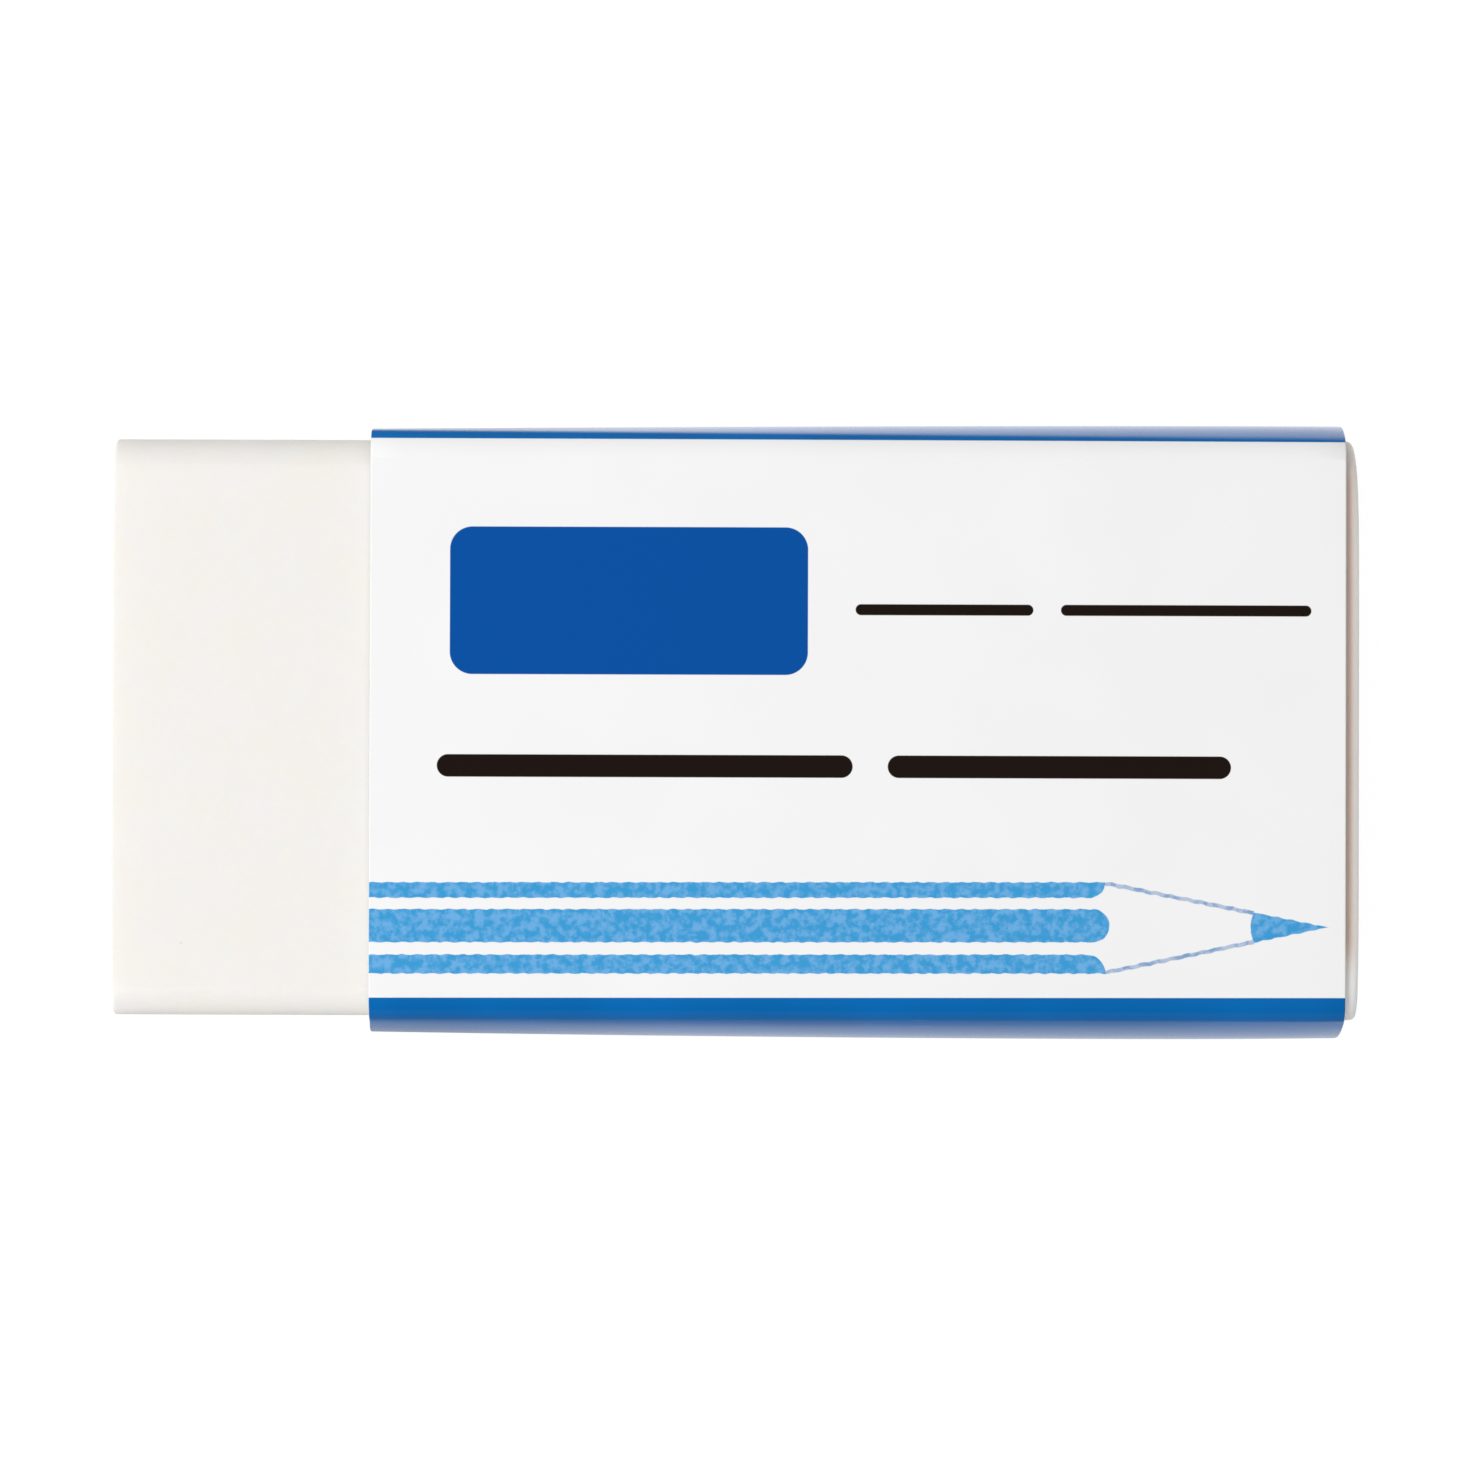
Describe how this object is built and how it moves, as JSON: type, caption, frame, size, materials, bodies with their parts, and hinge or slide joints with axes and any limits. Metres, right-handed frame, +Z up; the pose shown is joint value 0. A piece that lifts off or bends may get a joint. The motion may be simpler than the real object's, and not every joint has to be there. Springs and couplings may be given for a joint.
{
  "type": "rubber eraser",
  "caption": "White rubber block eraser held in a folded and glued card sleeve that slides along it, with the working end of the rubber bare.",
  "frame": {"origin": "under the middle of the whole object, on the surface that the sleeve's underside lies on", "axes": "+X along the block, from the bare working end to the end that the sleeve nearly covers, +Y across the broad face, +Z up out of the printed face"},
  "size_m": [0.05, 0.0246, 0.0131],
  "materials": {
    "rubber": "matt white vinyl rubber, slightly translucent",
    "card": "satin coated card, printed white and blue outside, unprinted inside"
  },
  "bodies": {
    "block": {"rubber_block": "rubber"},
    "sleeve": {"card_sleeve": "card"}
  },
  "joints": [
    {"name": "sleeve_slide", "type": "slide", "parent": "block", "child": "sleeve", "axis": [1, 0, 0], "range_m": [-0.0104, 0.0286]}
  ]
}
